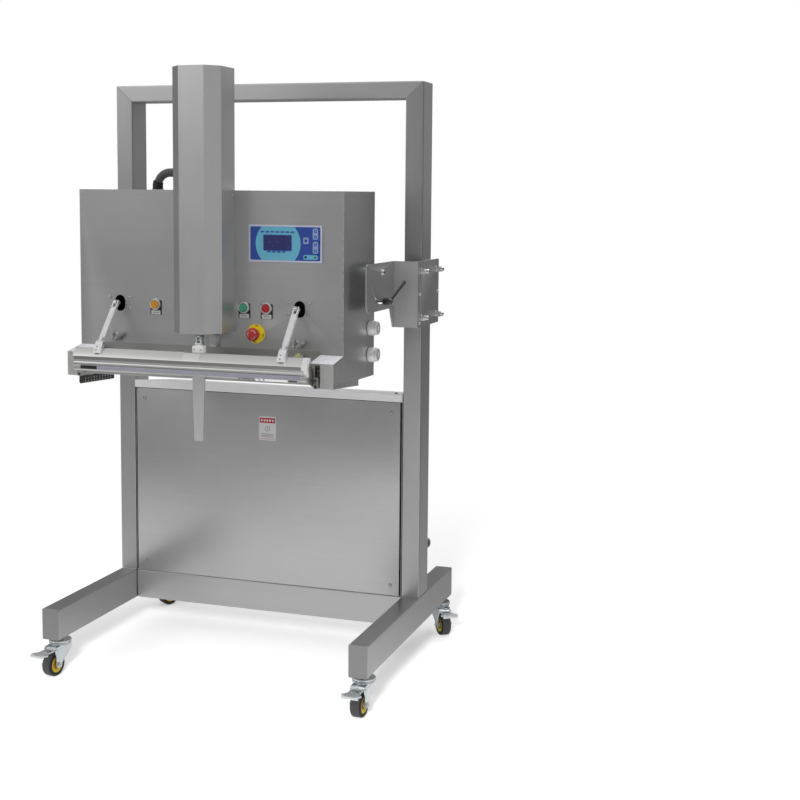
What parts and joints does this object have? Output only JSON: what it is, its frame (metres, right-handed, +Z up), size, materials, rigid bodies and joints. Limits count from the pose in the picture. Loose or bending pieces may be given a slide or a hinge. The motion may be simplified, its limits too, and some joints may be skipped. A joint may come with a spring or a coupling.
{
  "type": "vertical nozzle vacuum sealer",
  "caption": "Upright vacuum bag sealer on a castered stand, with a height-adjustable tilting head, a closing press bar and a retracting suction nozzle.",
  "frame": {"origin": "centre of the bounding box's footprint, on the floor under the casters", "axes": "+Z up; the sealing bar and controls face -Y; +X is towards the side with the two round knobs"},
  "size_m": [1.2001, 0.9745, 1.908],
  "materials": {
    "cabinet_front_panel": "fine brushed satin",
    "cabinet_lid": "fine brushed satin",
    "cabinet_rear_panel": "fine brushed satin",
    "cabinet_shell": "fine brushed satin",
    "control_panel": "membrane keypad",
    "cross_beam": "fine brushed satin",
    "estop_base": "satin",
    "estop_button": "gloss",
    "front_left_caster_brake": "bright zinc plate",
    "front_left_caster_fork": "bright zinc plate",
    "front_left_caster_stem": "bright zinc plate",
    "front_left_caster_wheel": "dark grey moulded",
    "front_right_caster_brake": "bright zinc plate",
    "front_right_caster_fork": "bright zinc plate",
    "front_right_caster_stem": "bright zinc plate",
    "front_right_caster_wheel": "dark grey moulded",
    "green_button": "gloss",
    "head_back_cover": "fine brushed satin",
    "head_housing": "fine brushed satin",
    "heated_jaw": "satin extruded or turned",
    "left_bar_cylinder": "dark satin",
    "left_bracket": "dark satin",
    "left_clamp": "fine brushed satin",
    "left_leg": "fine brushed satin",
    "left_link": "white nylon",
    "left_lock_lever": "matt black",
    "left_pivot_pin": "polished",
    "left_post": "fine brushed satin",
    "left_rod": "polished",
    "lower_knob": "satin extruded or turned",
    "nozzle": "fine brushed satin",
    "nozzle_cylinder": "satin extruded or turned",
    "nozzle_rod": "polished",
    "power_inlet": "matt black",
    "press_bar": "satin extruded or turned",
    "rear_left_caster_brake": "bright zinc plate",
    "rear_left_caster_fork": "bright zinc plate",
    "rear_left_caster_stem": "bright zinc plate",
    "rear_left_caster_wheel": "dark grey moulded",
    "rear_right_caster_brake": "bright zinc plate",
    "rear_right_caster_fork": "bright zinc plate",
    "rear_right_caster_stem": "bright zinc plate",
    "rear_right_caster_wheel": "dark grey moulded",
    "red_button": "gloss",
    "right_bar_cylinder": "dark satin",
    "right_bracket": "dark satin",
    "right_clamp": "fine brushed satin",
    "right_leg": "fine brushed satin",
    "right_link": "white nylon",
    "right_lock_lever": "matt black",
    "right_pivot_pin": "polished",
    "right_post": "fine brushed satin",
    "right_rod": "polished",
    "seal_strip": "silicone",
    "top_beam": "fine brushed satin",
    "tower_cover": "fine brushed satin",
    "upper_knob": "satin extruded or turned",
    "vacuum_hose": "matt black",
    "vacuum_pump": "dark satin",
    "yellow_button": "gloss"
  },
  "bodies": {
    "stand": {"left_post": "left_post", "right_post": "right_post", "top_beam": "top_beam", "left_leg": "left_leg", "right_leg": "right_leg", "cross_beam": "cross_beam", "cabinet_shell": "cabinet_shell", "cabinet_front_panel": "cabinet_front_panel", "cabinet_rear_panel": "cabinet_rear_panel", "cabinet_lid": "cabinet_lid", "vacuum_pump": "vacuum_pump", "power_inlet": "power_inlet", "front_left_caster_stem": "front_left_caster_stem", "front_right_caster_stem": "front_right_caster_stem", "rear_left_caster_stem": "rear_left_caster_stem", "rear_right_caster_stem": "rear_right_caster_stem"},
    "carriage": {"left_bracket": "left_bracket", "right_bracket": "right_bracket", "left_clamp": "left_clamp", "right_clamp": "right_clamp", "left_pivot_pin": "left_pivot_pin", "right_pivot_pin": "right_pivot_pin"},
    "head": {"head_housing": "head_housing", "head_back_cover": "head_back_cover", "heated_jaw": "heated_jaw", "control_panel": "control_panel", "tower_cover": "tower_cover", "nozzle_cylinder": "nozzle_cylinder", "vacuum_hose": "vacuum_hose", "left_bar_cylinder": "left_bar_cylinder", "right_bar_cylinder": "right_bar_cylinder", "estop_base": "estop_base"},
    "press_bar_body": {"press_bar": "press_bar", "seal_strip": "seal_strip"},
    "left_rod_body": {"left_rod": "left_rod"},
    "right_rod_body": {"right_rod": "right_rod"},
    "left_link_body": {"left_link": "left_link"},
    "right_link_body": {"right_link": "right_link"},
    "nozzle_body": {"nozzle": "nozzle", "nozzle_rod": "nozzle_rod"},
    "yellow_button_body": {"yellow_button": "yellow_button"},
    "green_button_body": {"green_button": "green_button"},
    "red_button_body": {"red_button": "red_button"},
    "estop_body": {"estop_button": "estop_button"},
    "upper_knob_body": {"upper_knob": "upper_knob"},
    "lower_knob_body": {"lower_knob": "lower_knob"},
    "left_lock_lever_body": {"left_lock_lever": "left_lock_lever"},
    "right_lock_lever_body": {"right_lock_lever": "right_lock_lever"},
    "front_left_swivel_body": {"front_left_caster_fork": "front_left_caster_fork"},
    "front_left_wheel_body": {"front_left_caster_wheel": "front_left_caster_wheel"},
    "front_left_brake_body": {"front_left_caster_brake": "front_left_caster_brake"},
    "front_right_swivel_body": {"front_right_caster_fork": "front_right_caster_fork"},
    "front_right_wheel_body": {"front_right_caster_wheel": "front_right_caster_wheel"},
    "front_right_brake_body": {"front_right_caster_brake": "front_right_caster_brake"},
    "rear_left_swivel_body": {"rear_left_caster_fork": "rear_left_caster_fork"},
    "rear_left_wheel_body": {"rear_left_caster_wheel": "rear_left_caster_wheel"},
    "rear_left_brake_body": {"rear_left_caster_brake": "rear_left_caster_brake"},
    "rear_right_swivel_body": {"rear_right_caster_fork": "rear_right_caster_fork"},
    "rear_right_wheel_body": {"rear_right_caster_wheel": "rear_right_caster_wheel"},
    "rear_right_brake_body": {"rear_right_caster_brake": "rear_right_caster_brake"}
  },
  "joints": [
    {"name": "head_height", "type": "slide", "parent": "stand", "child": "carriage", "axis": [0, 0, 1], "range_m": [-0.2, 0.2]},
    {"name": "head_tilt", "type": "hinge", "parent": "carriage", "child": "head", "pos_m": [-0.006, -0.1027, 1.3], "axis": [1, 0, 0], "range_deg": [-37, 0]},
    {"name": "press_bar_close", "type": "hinge", "parent": "head", "child": "press_bar_body", "pos_m": [-0.006, -0.4257, 0.985], "axis": [-1, 0, 0], "range_deg": [0, 19]},
    {"name": "left_rod_slide", "type": "slide", "parent": "head", "child": "left_rod_body", "axis": [0, 1, 0], "range_m": [0, 0.0405]},
    {"name": "left_link_swing", "type": "hinge", "parent": "left_rod_body", "child": "left_link_body", "pos_m": [-0.306, -0.3627, 1.2], "axis": [-1, 0, 0], "range_deg": [0, 3.1]},
    {"name": "right_rod_slide", "type": "slide", "parent": "head", "child": "right_rod_body", "axis": [0, 1, 0], "range_m": [0, 0.0405]},
    {"name": "right_link_swing", "type": "hinge", "parent": "right_rod_body", "child": "right_link_body", "pos_m": [0.294, -0.3627, 1.2], "axis": [-1, 0, 0], "range_deg": [0, 3.1]},
    {"name": "nozzle_lift", "type": "slide", "parent": "head", "child": "nozzle_body", "axis": [0, 0, 1], "range_m": [0, 0.28]},
    {"name": "yellow_button_press", "type": "slide", "parent": "head", "child": "yellow_button_body", "axis": [0, 1, 0], "range_m": [0, 0.003], "stiffness_N_per_m": 600},
    {"name": "green_button_press", "type": "slide", "parent": "head", "child": "green_button_body", "axis": [0, 1, 0], "range_m": [0, 0.003], "stiffness_N_per_m": 600},
    {"name": "red_button_press", "type": "slide", "parent": "head", "child": "red_button_body", "axis": [0, 1, 0], "range_m": [0, 0.003], "stiffness_N_per_m": 600},
    {"name": "estop_press", "type": "slide", "parent": "head", "child": "estop_body", "axis": [0, 1, 0], "range_m": [0, 0.005]},
    {"name": "upper_knob_turn", "type": "hinge", "parent": "head", "child": "upper_knob_body", "pos_m": [0.433, -0.1107, 1.1275], "axis": [1, 0, 0], "range_deg": [0, 300]},
    {"name": "lower_knob_turn", "type": "hinge", "parent": "head", "child": "lower_knob_body", "pos_m": [0.433, -0.1107, 1.045], "axis": [1, 0, 0], "range_deg": [0, 300]},
    {"name": "left_lock_lever_turn", "type": "hinge", "parent": "head", "child": "left_lock_lever_body", "pos_m": [-0.4835, -0.0797, 1.209], "axis": [-1, 0, 0], "range_deg": [0, 100]},
    {"name": "right_lock_lever_turn", "type": "hinge", "parent": "head", "child": "right_lock_lever_body", "pos_m": [0.4715, -0.0797, 1.209], "axis": [1, 0, 0], "range_deg": [0, 100]},
    {"name": "front_left_swivel", "type": "hinge", "parent": "stand", "child": "front_left_swivel_body", "pos_m": [-0.524, -0.3617, 0.1], "axis": [0, 0, 1], "continuous": true},
    {"name": "front_left_wheel_roll", "type": "hinge", "parent": "front_left_swivel_body", "child": "front_left_wheel_body", "pos_m": [-0.52827, -0.39644, 0.0375], "axis": [0.9925, -0.1219, 0], "continuous": true},
    {"name": "front_left_brake_press", "type": "hinge", "parent": "front_left_swivel_body", "child": "front_left_brake_body", "pos_m": [-0.52961, -0.40736, 0.086], "axis": [0.9925, -0.1219, 0], "range_deg": [0, 10]},
    {"name": "front_right_swivel", "type": "hinge", "parent": "stand", "child": "front_right_swivel_body", "pos_m": [0.512, -0.3617, 0.1], "axis": [0, 0, 1], "continuous": true},
    {"name": "front_right_wheel_roll", "type": "hinge", "parent": "front_right_swivel_body", "child": "front_right_wheel_body", "pos_m": [0.51078, -0.39668, 0.0375], "axis": [0.9994, -0.0349, 0], "continuous": true},
    {"name": "front_right_brake_press", "type": "hinge", "parent": "front_right_swivel_body", "child": "front_right_brake_body", "pos_m": [0.51039, -0.40767, 0.086], "axis": [0.9994, -0.0349, 0], "range_deg": [0, 10]},
    {"name": "rear_left_swivel", "type": "hinge", "parent": "stand", "child": "rear_left_swivel_body", "pos_m": [-0.524, 0.4373, 0.1], "axis": [0, 0, 1], "continuous": true},
    {"name": "rear_left_wheel_roll", "type": "hinge", "parent": "rear_left_swivel_body", "child": "rear_left_wheel_body", "pos_m": [-0.54043, 0.4064, 0.0375], "axis": [0.8829, -0.4695, 0], "continuous": true},
    {"name": "rear_left_brake_press", "type": "hinge", "parent": "rear_left_swivel_body", "child": "rear_left_brake_body", "pos_m": [-0.5456, 0.39668, 0.086], "axis": [0.8829, -0.4695, 0], "range_deg": [0, 10]},
    {"name": "rear_right_swivel", "type": "hinge", "parent": "stand", "child": "rear_right_swivel_body", "pos_m": [0.512, 0.4373, 0.1], "axis": [0, 0, 1], "continuous": true},
    {"name": "rear_right_wheel_roll", "type": "hinge", "parent": "rear_right_swivel_body", "child": "rear_right_wheel_body", "pos_m": [0.53355, 0.40972, 0.0375], "axis": [0.788, 0.6157, 0], "continuous": true},
    {"name": "rear_right_brake_press", "type": "hinge", "parent": "rear_right_swivel_body", "child": "rear_right_brake_body", "pos_m": [0.54032, 0.40105, 0.086], "axis": [0.788, 0.6157, 0], "range_deg": [0, 10]}
  ],
  "couplings": [
    {"joint": "left_rod_slide", "follows": "press_bar_close", "m_per_rad": 0.12183},
    {"joint": "left_link_swing", "follows": "press_bar_close", "ratio": 0.161},
    {"joint": "right_rod_slide", "follows": "press_bar_close", "m_per_rad": 0.12183},
    {"joint": "right_link_swing", "follows": "press_bar_close", "ratio": 0.161}
  ]
}
